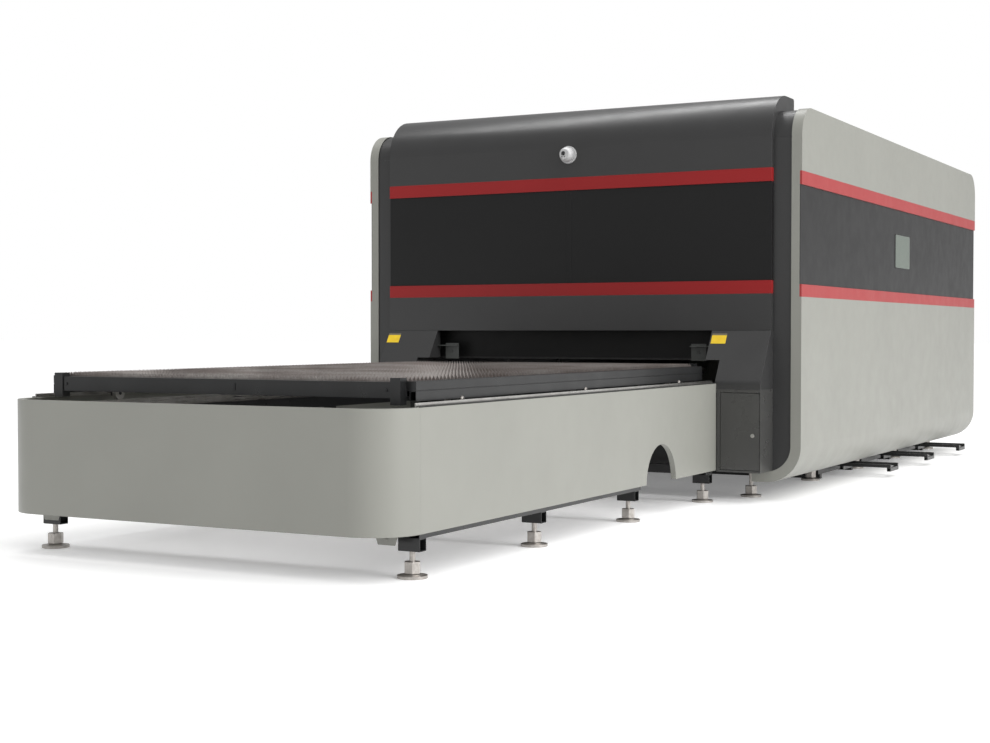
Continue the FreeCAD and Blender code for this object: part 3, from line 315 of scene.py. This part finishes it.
def nozzle_brass():
    shader = Shader("nozzle_brass", (0.62, 0.42, 0.18), roughness=0.28, metallic=1.0)
    shader.mottle((0.45, 0.27, 0.12), scale=60.0, detail=4.0)
    shader.vary_roughness(shader.noise(scale=200.0, detail=3.0), amount=0.08)
    shader.bump(shader.noise(scale=400.0, detail=2.0), distance=0.0001, strength=0.4)
    return shader.material


def camera_shell():
    """Moulded light plastic with a faint spark texture."""
    shader = Shader("camera_shell", (0.52, 0.52, 0.52), roughness=0.35)
    shader.mottle((0.46, 0.46, 0.465), scale=30.0, detail=3.0)
    shader.vary_roughness(shader.noise(scale=80.0, detail=3.0), amount=0.05)
    shader.bump(shader.noise(scale=900.0, detail=2.0), distance=0.00008, strength=0.5, edge=0.002)
    shader.coat(weight=0.3, roughness=0.15)
    return shader.material


def lens_black():
    shader = Shader("lens_black", (0.004, 0.004, 0.005), roughness=0.08)
    shader.mottle((0.006, 0.006, 0.010), scale=200.0, detail=1.0)
    shader.bump(shader.noise(scale=60.0, detail=1.0), distance=0.00005, strength=0.2, edge=0.0005)
    shader.coat(weight=0.8, roughness=0.03)
    return shader.material


def plate_yellow():
    shader = Shader("plate_yellow", (0.86, 0.60, 0.012), roughness=0.34)
    shader.mottle((0.80, 0.53, 0.010), scale=35.0, detail=3.0)
    shader.vary_roughness(shader.noise(scale=70.0, detail=3.0), amount=0.04)
    shader.bump(shader.noise(scale=260.0, detail=2.0), distance=0.00008, strength=0.4, edge=0.0005)
    shader.coat(weight=0.3, roughness=0.15)
    return shader.material


def rubber_black():
    shader = Shader("rubber_black", (0.013, 0.013, 0.013), roughness=0.7)
    shader.mottle((0.022, 0.022, 0.021), scale=40.0, detail=4.0)
    shader.vary_roughness(shader.noise(scale=90.0, detail=3.0), amount=0.07)
    shader.bump(shader.noise(scale=700.0, detail=2.0), distance=0.0002, strength=0.5, edge=0.001)
    return shader.material


def floor_pale():
    shader = Shader("floor_pale", (0.93, 0.93, 0.93), roughness=0.55)
    shader.mottle((0.92, 0.92, 0.92), scale=0.6, detail=3.0)
    shader.principled.inputs["Emission Color"].default_value = (1, 1, 1, 1)
    shader.principled.inputs["Emission Strength"].default_value = 0.20
    shader.vary_roughness(shader.noise(scale=3.0, detail=3.0), amount=0.04)
    shader.bump(shader.noise(scale=160.0, detail=2.0), distance=0.0001, strength=0.2, edge=0.0)
    shader.principled.inputs["Specular IOR Level"].default_value = 0.15
    return shader.material


FINISHES = {
    cabin_grey: ["side_panel_right", "side_panel_left"],
    housing_dark: ["front_wall", "fascia_top", "fascia_lower", "hood_right", "hood_left"],
    cabinet_dark: ["cabinet_right", "cabinet_left", "cabinet_door_right", "cabinet_door_left"],
    front_band_dark: ["front_band_right", "front_band_left"],
    side_band_dark_painted_lit: ["side_bands"],
    stripe_red: ["front_stripes"],
    stripe_red_side_painted_lit: ["side_stripes"],
    window_green: ["side_windows"],
    curtain_black: ["lifting_door", "lifting_door_guides"],
    frame_dark: ["pallet_side_rails", "pallet_end_beams", "table_lower_beams", "table_upper_beams",
                 "table_cross_members", "table_posts", "bed_beams", "bed_cross_members", "track_brackets",
                 "slag_tray_1", "slag_tray_2", "slag_tray_3"],
    gantry_paint: ["gantry_beam", "cross_carriage"],
    machined_steel: ["bed_rails", "bed_racks", "pallet_tracks", "gantry_shoes", "cross_rails", "drive_shaft",
                     "gantry_pinion_right", "gantry_pinion_left", "pallet_wheels_1", "pallet_wheels_2",
                     "pallet_wheels_3", "door_lock_right", "door_lock_left"],
    foot_steel: ["foot_pads", "foot_studs"],
    motor_black: ["gantry_motors", "drive_motor"],
    head_alloy: ["cutting_head"],
    nozzle_brass: ["head_nozzle"],
    camera_shell: ["camera_ball", "camera_collar"],
    table_grey: ["table_front_panel", "table_side_panel_right", "table_side_panel_left"],
}
MADE = {}


def finish(maker):
    """The material that a maker function builds, built once."""
    if maker not in MADE:
        MADE[maker] = maker()
    return MADE[maker]


def set_material(obj, material):
    obj.data.materials.clear()
    obj.data.materials.append(material)


def joints_between(low, high, sheets):
    """Where equal sheets that fill low..high butt."""
    return [low + (high - low) * i / sheets for i in range(1, sheets)]


def finish_cad_nodes():
    for maker, names in FINISHES.items():
        for name in names:
            set_material(NODES[name], finish(maker))
    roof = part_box("roof_panel")
    seams = joints_between(roof[0].y, roof[1].y, ROOF_SHEETS)
    set_material(NODES["roof_panel"], seamed_paint("roof_dark", DARK, 0.40, "Y", seams))
    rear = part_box("rear_wall")
    seams = joints_between(rear[0].x, rear[1].x, REAR_SHEETS)
    set_material(NODES["rear_wall"], seamed_paint("rear_grey", GREY, 0.45, "X", seams))


# ---- mesh helpers ----
WASHER_RADIUS = 1.25     # a bolt's sizes, as shares of its head's radius
WASHER_THICKNESS = 0.2
BOLT_HEAD_HEIGHT = 0.65
CHAMFER_ANGLE = 40.0     # flatter folds than this keep their edge


def new_object(name, mesh_maker, material, body):
    """Object from a function that fills a bmesh, with one material, riding on a body."""
    work = bmesh.new()
    mesh_maker(work)
    bmesh.ops.recalc_face_normals(work, faces=work.faces)
    mesh = bpy.data.meshes.new(name)
    work.to_mesh(mesh)
    work.free()
    obj = bpy.data.objects.new(name, mesh)
    bpy.context.scene.collection.objects.link(obj)
    set_material(obj, material)
    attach(obj, body)
    return obj


def add_box(work, low, high):
    centre = [(a + b) / 2 for a, b in zip(low, high)]
    size = [b - a for a, b in zip(low, high)]
    place = Matrix.Translation(centre) @ Matrix.Diagonal((*size, 1))
    bmesh.ops.create_cube(work, size=1.0, matrix=place)


def add_disc(work, centre, axis, radius, length, sides=32, tip=None):
    """Cylinder, or cone where tip is given, from centre along axis."""
    turn = Vector((0, 0, 1)).rotation_difference(Vector(axis)).to_matrix().to_4x4()
    middle = Vector(centre) + Vector(axis).normalized() * length / 2
    bmesh.ops.create_cone(work, cap_ends=True, segments=sides, radius1=radius,
                          radius2=radius if tip is None else tip, depth=length,
                          matrix=Matrix.Translation(middle) @ turn)


def add_bolt(work, seat, axis, size):
    """Hexagon head, size in radius, on a washer."""
    add_disc(work, seat, axis, size * WASHER_RADIUS, size * WASHER_THICKNESS, sides=24)
    top = Vector(seat) + Vector(axis).normalized() * size * WASHER_THICKNESS
    add_disc(work, top, axis, size, size * BOLT_HEAD_HEIGHT, sides=6)


def chamfer(obj, width, segments=2):
    modifier = obj.modifiers.new("chamfer", "BEVEL")
    modifier.width = width
    modifier.segments = segments
    modifier.limit_method = "ANGLE"
    modifier.angle_limit = math.radians(CHAMFER_ANGLE)


# ---- pallet ----
SLAT_PITCH = 0.030
SLAT_THICKNESS = 0.002
TOOTH_PITCH = 0.0170
TOOTH_DEPTH = 0.016


def add_slat(work, low, high, y):
    """One slat: a thin plate with sharp saw teeth along its top, both faces and the edges between."""
    teeth = round((high.x - low.x) / TOOTH_PITCH)
    pitch = (high.x - low.x) / teeth
    root = high.z - TOOTH_DEPTH
    outline = [(low.x, low.z), (high.x, low.z), (high.x, root)]
    for i in range(teeth):
        right = high.x - i * pitch
        outline.append((right - pitch / 2, high.z))
        outline.append((right - pitch, root))
    front = [work.verts.new((x, y, z)) for x, z in outline]
    back = [work.verts.new((x, y + SLAT_THICKNESS, z)) for x, z in outline]
    work.faces.new(front)
    work.faces.new(back[::-1])
    for i in range(len(front)):
        j = (i + 1) % len(front)
        work.faces.new((front[j], front[i], back[i], back[j]))


def make_slats():
    """The saw-toothed slats at their true pitch."""
    low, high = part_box("pallet_slats")

    def build(work):
        count = int((high.y - low.y - SLAT_THICKNESS) / SLAT_PITCH) + 1
        for i in range(count):
            add_slat(work, low, high, low.y + i * SLAT_PITCH)
    slats = new_object("saw_slats", build, finish(slat_steel), "pallet")
    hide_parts("pallet_slats")


HEAD_RISE = 0.020        # guide heads above the lowest edge of the side rails
HEAD_RADIUS = 0.013
HEAD_THICKNESS = 0.005
CROWN_RADIUS = 0.010     # the tapered crown on each guide head
CROWN_TIP = 0.008
CROWN_HEIGHT = 0.003
SOCKET_SHADE_RADIUS = 0.0045
SOCKET_SHADE_THICKNESS = 0.0006
STOP_OFFSET = 0.090      # the front beam's stop, to the right of its middle
STOP_HALF_WIDTH = 0.004
STOP_THICKNESS = 0.003
STOP_LIFT = 0.018        # above the beam's lower edge
STOP_HEIGHT = 0.030
BEAM_BOLT_INSET = 0.020
SMALL_BOLT = 0.006


def make_pallet_trim():
    """Round guide heads low on the side rails, bolts of the end beam and its middle stop."""
    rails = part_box("pallet_side_rails")
    stations = []
    for number in (1, 2, 3):
        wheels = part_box("pallet_wheels_%d" % number)
        stations.append((wheels[0].y + wheels[1].y) / 2)
    seat = rails[0].z + HEAD_RISE

    def build_heads(work):
        for side, x in ((1, rails[1].x), (-1, rails[0].x)):
            for y in stations:
                out = (side, 0, 0)
                add_disc(work, (x, y, seat), out, HEAD_RADIUS, HEAD_THICKNESS, sides=28)
                add_disc(work, (x + side * HEAD_THICKNESS, y, seat), out, CROWN_RADIUS, CROWN_HEIGHT,
                         sides=28, tip=CROWN_TIP)

    # flat black hexagons on the crowns: painted shade standing in for the hollow hex sockets
    def build_socket_shade(work):
        rise = HEAD_THICKNESS + CROWN_HEIGHT
        for side, x in ((1, rails[1].x), (-1, rails[0].x)):
            for y in stations:
                add_disc(work, (x + side * rise, y, seat), (side, 0, 0), SOCKET_SHADE_RADIUS, SOCKET_SHADE_THICKNESS,
                         sides=6)
    heads = new_object("guide_heads", build_heads, finish(foot_steel), "pallet")
    chamfer(heads, 0.0007, 1)
    new_object("guide_head_socket_shade", build_socket_shade, finish(motor_black), "pallet")

    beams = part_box("pallet_end_beams")

    def build_fixings(work):
        middle = (beams[0].x + beams[1].x) / 2 + STOP_OFFSET
        low = beams[0].z + STOP_LIFT
        add_box(work, (middle - STOP_HALF_WIDTH, beams[0].y - STOP_THICKNESS, low),
                (middle + STOP_HALF_WIDTH, beams[0].y, low + STOP_HEIGHT))
        for side in (-1, 1):
            x = (beams[1].x if side > 0 else beams[0].x) - side * BEAM_BOLT_INSET
            add_bolt(work, (x, beams[0].y, (beams[0].z + beams[1].z) / 2), (0, -1, 0), SMALL_BOLT)
    new_object("end_beam_fixings", build_fixings, finish(motor_black), "pallet")


# ---- front ----
HOOD_TUCK = 0.001        # the hoods' top edges reach this far into the fascia
HOOD_KNEE_RISE = 0.040
PLATE_WIDTH = 0.088
PLATE_LENGTH = 0.055
PLATE_HEADER = 0.012
PLATE_DROP = 0.021       # from the hood's top edge down its slope
PLATE_INSETS = {"right": 0.008, "left": 0.003}    # from each hood's left edge
PLATE_BACK = 0.0003      # a plate's back and face above the hood's sheet
PLATE_FACE = 0.0012


def hood_slope(hood, fascia):
    """Top point of a hood's sloping face and a unit step down it, both at x = 0."""
    top = Vector((0, fascia[0].y + HOOD_TUCK, hood[1].z))
    knee = Vector((0, hood[0].y, hood[0].z + HOOD_KNEE_RISE))
    return top, (knee - top).normalized()


def make_plates():
    """Blank plates on both hoods: a yellow field under a narrow header strip."""
    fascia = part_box("fascia_lower")
    for side in ("right", "left"):
        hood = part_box("hood_" + side)
        top, down = hood_slope(hood, fascia)
        outward = Vector((0, down.z, -down.y)).normalized()
        if outward.y > 0:
            outward.negate()
        x = hood[0].x + PLATE_INSETS[side]
        start = top + down * PLATE_DROP

        def strip(work, first, last):
            corners = []
            for x_here in (x, x + PLATE_WIDTH):
                for step in (first, last):
                    for height in (PLATE_BACK, PLATE_FACE):
                        point = start + down * step + outward * height
                        corners.append(work.verts.new((x_here, point.y, point.z)))
            bmesh.ops.convex_hull(work, input=corners)
        header = new_object("plate_header_" + side, lambda work: strip(work, 0, PLATE_HEADER),
                            finish(header_grey), "cabin")
        field = new_object("yellow_plate_" + side,
                           lambda work: strip(work, PLATE_HEADER, PLATE_HEADER + PLATE_LENGTH),
                           finish(plate_yellow), "cabin")
        chamfer(header, 0.0003, 1)
        chamfer(field, 0.0003, 1)


STRIP_HALF_WIDTH = 0.016
STRIP_THICKNESS = 0.0015
STRIP_MARGIN = 0.001     # short of the band's upper and lower edges


def make_band_strip():
    """Cover strip over the joint of the two front band plates."""
    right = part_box("front_band_right")
    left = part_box("front_band_left")
    joint = (right[0].x + left[1].x) / 2

    def build(work):
        add_box(work, (joint - STRIP_HALF_WIDTH, right[0].y - STRIP_THICKNESS, right[0].z + STRIP_MARGIN),
                (joint + STRIP_HALF_WIDTH, right[0].y, right[1].z - STRIP_MARGIN))
    strip = new_object("band_cover_strip", build, finish(front_band_dark), "cabin")
    chamfer(strip, 0.0008)


LIP_INSET = 0.010        # from the door's two ends
LIP_FRONT = 0.004        # behind the door's front face
LIP_BACK = 0.010
LIP_DROP = 0.012         # below the door
LIP_GRIP = 0.001         # up into the door


def make_door_lip():
    """Rubber lip under the lifting door."""
    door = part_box("lifting_door")

    def build(work):
        add_box(work, (door[0].x + LIP_INSET, door[0].y + LIP_FRONT, door[0].z - LIP_DROP),
                (door[1].x - LIP_INSET, door[0].y + LIP_BACK, door[0].z + LIP_GRIP))
    new_object("door_lip", build, finish(rubber_black), "lift_door")


LENS_X = -0.007          # the lens from the middle of the camera's face
LENS_Z = 0.004
BEZEL_RADIUS = 0.0125
BEZEL_ROOT = 0.0008      # the bezel starts this far inside the face
BEZEL_LENGTH = 0.0022
LENS_RADIUS = 0.0100
LENS_TIP = 0.0075
LENS_LENGTH = 0.0014
SENSOR_X = (-0.015, 0.002)
SENSOR_Z = -0.015
SENSOR_RADIUS = 0.0036
SENSOR_ROOT = 0.0004
SENSOR_LENGTH = 0.0012


def make_camera_parts():
    """Lens, its bezel and two small sensor windows in the camera's flat face."""
    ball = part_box("camera_ball")
    middle = Vector(((ball[0].x + ball[1].x) / 2, ball[0].y, (ball[0].z + ball[1].z) / 2))
    ahead = (0, -1, 0)
    bezel_front = BEZEL_ROOT - BEZEL_LENGTH

    def build_bezel(work):
        root = middle + Vector((LENS_X, BEZEL_ROOT, LENS_Z))
        add_disc(work, root, ahead, BEZEL_RADIUS, BEZEL_LENGTH, sides=40)

    def build_glass(work):
        root = middle + Vector((LENS_X, bezel_front, LENS_Z))
        add_disc(work, root, ahead, LENS_RADIUS, LENS_LENGTH, sides=40, tip=LENS_TIP)
        for x in SENSOR_X:
            root = middle + Vector((x, SENSOR_ROOT, SENSOR_Z))
            add_disc(work, root, ahead, SENSOR_RADIUS, SENSOR_LENGTH, sides=20)
    new_object("camera_bezel", build_bezel, finish(motor_black), "camera")
    new_object("camera_glass", build_glass, finish(lens_black), "camera")


# ---- sides ----
GASKET_THICKNESS = 0.003
GASKET_WIDTH = 0.004


def make_window_gaskets():
    """Black rubber frames round the two side windows."""
    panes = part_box("side_windows")
    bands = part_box("side_bands")

    def build(work):
        for side in (0, 1):
            face = bands[side].x
            out = -GASKET_THICKNESS if side == 0 else GASKET_THICKNESS
            x = (min(face, face + out), max(face, face + out))
            y = (panes[0].y, panes[1].y)
            z = (panes[0].z, panes[1].z)
            edge = GASKET_WIDTH
            add_box(work, (x[0], y[0] - edge, z[1]), (x[1], y[1] + edge, z[1] + edge))
            add_box(work, (x[0], y[0] - edge, z[0] - edge), (x[1], y[1] + edge, z[0]))
            add_box(work, (x[0], y[0] - edge, z[0]), (x[1], y[0], z[1]))
            add_box(work, (x[0], y[1], z[0]), (x[1], y[1] + edge, z[1]))
    gasket = new_object("window_gaskets", build, finish(rubber_black), "cabin")
    chamfer(gasket, 0.001)


# ---- table ----
GUSSET_TOP = 0.110
GUSSET_BOTTOM = 0.078
GUSSET_HEIGHT = 0.046
GUSSET_AHEAD = 0.065     # in front of the first cross tube
GUSSET_INSET = 0.138     # from the skirt's outer side to the gusset's middle
GUSSET_THICKNESS = 0.003


def make_gussets():
    """Folded gussets that hang below the front skirt beside the front feet."""
    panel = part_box("table_front_panel")
    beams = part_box("table_cross_members")
    centre = (panel[0].x + panel[1].x) / 2
    reach = (panel[1].x - panel[0].x) / 2 - GUSSET_INSET
    y = beams[0].y - GUSSET_AHEAD

    def build(work):
        for side in (-1, 1):
            middle = centre + side * reach
            corners = []
            for z, half in ((panel[0].z, GUSSET_TOP / 2), (panel[0].z - GUSSET_HEIGHT, GUSSET_BOTTOM / 2)):
                for x in (middle - half, middle + half):
                    for depth in (y, y + GUSSET_THICKNESS):
                        corners.append(work.verts.new((x, depth, z)))
            bmesh.ops.convex_hull(work, input=corners)
            add_box(work, (middle - GUSSET_BOTTOM / 2, y, panel[0].z),
                    (middle + GUSSET_BOTTOM / 2, beams[0].y, panel[0].z + GUSSET_THICKNESS))
            add_bolt(work, (middle, y, panel[0].z - GUSSET_HEIGHT / 2), (0, -1, 0), SMALL_BOLT)
    gussets = new_object("table_gussets", build, finish(table_grey), "cabin")
    chamfer(gussets, 0.0008, 1)


RIM_OUTER = 0.003        # the dark strip's two sides, in from the skirt's outer side
RIM_INNER = 0.009
RIM_HEIGHT = 0.005
RIM_END = 0.004          # short of the skirt's rear end


def make_rim_dark_strips():
    """Black strips along the upper rims of the side skirts, outside the bright strips."""
    def build(work):
        for name, inner in (("table_side_panel_right", -1), ("table_side_panel_left", 1)):
            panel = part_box(name)
            outer = panel[1].x if inner < 0 else panel[0].x
            x = sorted((outer + inner * RIM_OUTER, outer + inner * RIM_INNER))
            add_box(work, (x[0], panel[0].y, panel[1].z),
                    (x[1], panel[1].y - RIM_END, panel[1].z + RIM_HEIGHT))
    rim_strip = new_object("rim_dark_strips", build, finish(rubber_black), "cabin")
    chamfer(rim_strip, 0.0012)


BRACKET_DROP = 0.077
BRACKET_HEIGHT = 0.097
BRACKET_REACH = 0.136
BRACKET_WIDTH = 0.092
BRACKET_GAP = 0.004      # in front of the hood's back
BRACKET_SHEET = 0.006
ARM_DEPTH = 0.030
ARM_TOP = 0.012          # below the upright's top
ARM_BOTTOM = 0.018
BRACKET_BOLT = 0.007
BRACKET_BOLT_DROP = 0.050


def make_mouth_brackets():
    """Grey uprights that hang beside the mouth on a short arm from each hood."""
    for side, inward in (("right", -1), ("left", 1)):
        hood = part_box("hood_" + side)
        edge = hood[0].x if side == "right" else hood[1].x
        top = hood[1].z - BRACKET_DROP
        back = hood[1].y - BRACKET_GAP
        front = back - BRACKET_SHEET

        def build(work):
            end = edge + inward * BRACKET_REACH
            plate = sorted((edge + inward * (BRACKET_REACH - BRACKET_WIDTH), end))
            add_box(work, (plate[0], front, top - BRACKET_HEIGHT), (plate[1], back, top))
            arm = sorted((edge, end))
            add_box(work, (arm[0], back - ARM_DEPTH, top - ARM_BOTTOM), (arm[1], front, top - ARM_TOP))
            seat = ((plate[0] + plate[1]) / 2, front, top - BRACKET_BOLT_DROP)
            add_bolt(work, seat, (0, -1, 0), BRACKET_BOLT)
        bracket = new_object("mouth_upright_" + side, build, finish(bracket_grey), "cabin")
        chamfer(bracket, 0.0008, 1)


# ---- stage ----
FLOOR_HALF = 120.0
FLOOR_DROP = 0.0005      # below the feet
AMBIENT = 0.50
BACKDROP = 1.0           # the surroundings as the camera sees them
SUN_ENERGY = 2.0
SUN_SPREAD = 60.0
SUN_FROM = (0.75, -0.10, 1.0)
SIDE_POWER = 900.0
STRIP_POWER = 230.0


def add_floor():
    mesh = bpy.data.meshes.new("floor")
    size = FLOOR_HALF
    mesh.from_pydata([(-size, -size, 0), (size, -size, 0), (size, size, 0), (-size, size, 0)], [],
                     [(0, 1, 2, 3)])
    floor = bpy.data.objects.new("floor", mesh)
    floor.location.z = -FLOOR_DROP
    bpy.context.scene.collection.objects.link(floor)
    floor.data.materials.append(floor_pale())


def add_area(name, place, aim, size, power):
    data = bpy.data.lights.new(name, "AREA")
    data.shape = "RECTANGLE"
    data.size, data.size_y = size
    data.energy = power
    light = bpy.data.objects.new(name, data)
    light.location = place
    light.rotation_euler = (Vector(aim) - Vector(place)).to_track_quat("-Z", "Y").to_euler()
    bpy.context.scene.collection.objects.link(light)


def add_surroundings():
    """White surroundings, dimmer as a light than as a backdrop."""
    world = bpy.data.worlds.new("studio")
    bpy.context.scene.world = world
    world.use_nodes = True
    tree = world.node_tree
    background = tree.nodes["Background"]
    background.inputs["Color"].default_value = (1, 1, 1, 1)
    background.inputs["Strength"].default_value = AMBIENT
    plain = tree.nodes.new("ShaderNodeBackground")
    plain.inputs["Color"].default_value = (1, 1, 1, 1)
    plain.inputs["Strength"].default_value = BACKDROP
    rays = tree.nodes.new("ShaderNodeLightPath")
    mix = tree.nodes.new("ShaderNodeMixShader")
    tree.links.new(rays.outputs["Is Camera Ray"], mix.inputs[0])
    tree.links.new(background.outputs[0], mix.inputs[1])
    tree.links.new(plain.outputs[0], mix.inputs[2])
    tree.links.new(mix.outputs[0], tree.nodes["World Output"].inputs[0])


def add_lights():
    """A broad light from above, a large soft one from the right and a strip over the housing."""
    sun = bpy.data.lights.new("sky", "SUN")
    sun.energy = SUN_ENERGY
    sun.angle = math.radians(SUN_SPREAD)
    lamp = bpy.data.objects.new("sky", sun)
    lamp.rotation_euler = Vector(SUN_FROM).to_track_quat("Z", "Y").to_euler()
    bpy.context.scene.collection.objects.link(lamp)
    add_area("side_box", place=(14.0, -3.0, 5.0), aim=(1.4, 1.5, 1.0), size=(9.0, 5.0), power=SIDE_POWER)
    add_area("roof_strip", place=(-1.6, 0.6, 7.5), aim=(0.0, -0.6, 2.2), size=(7.0, 1.2), power=STRIP_POWER)


def main():
    add_camera()
    add_floor()
    add_surroundings()
    add_lights()
    finish_cad_nodes()
    make_slats()
    make_pallet_trim()
    make_plates()
    make_band_strip()
    make_door_lip()
    make_camera_parts()
    make_window_gaskets()
    make_gussets()
    make_rim_dark_strips()
    make_mouth_brackets()
    bpy.context.scene.view_settings.view_transform = "Standard"


main()
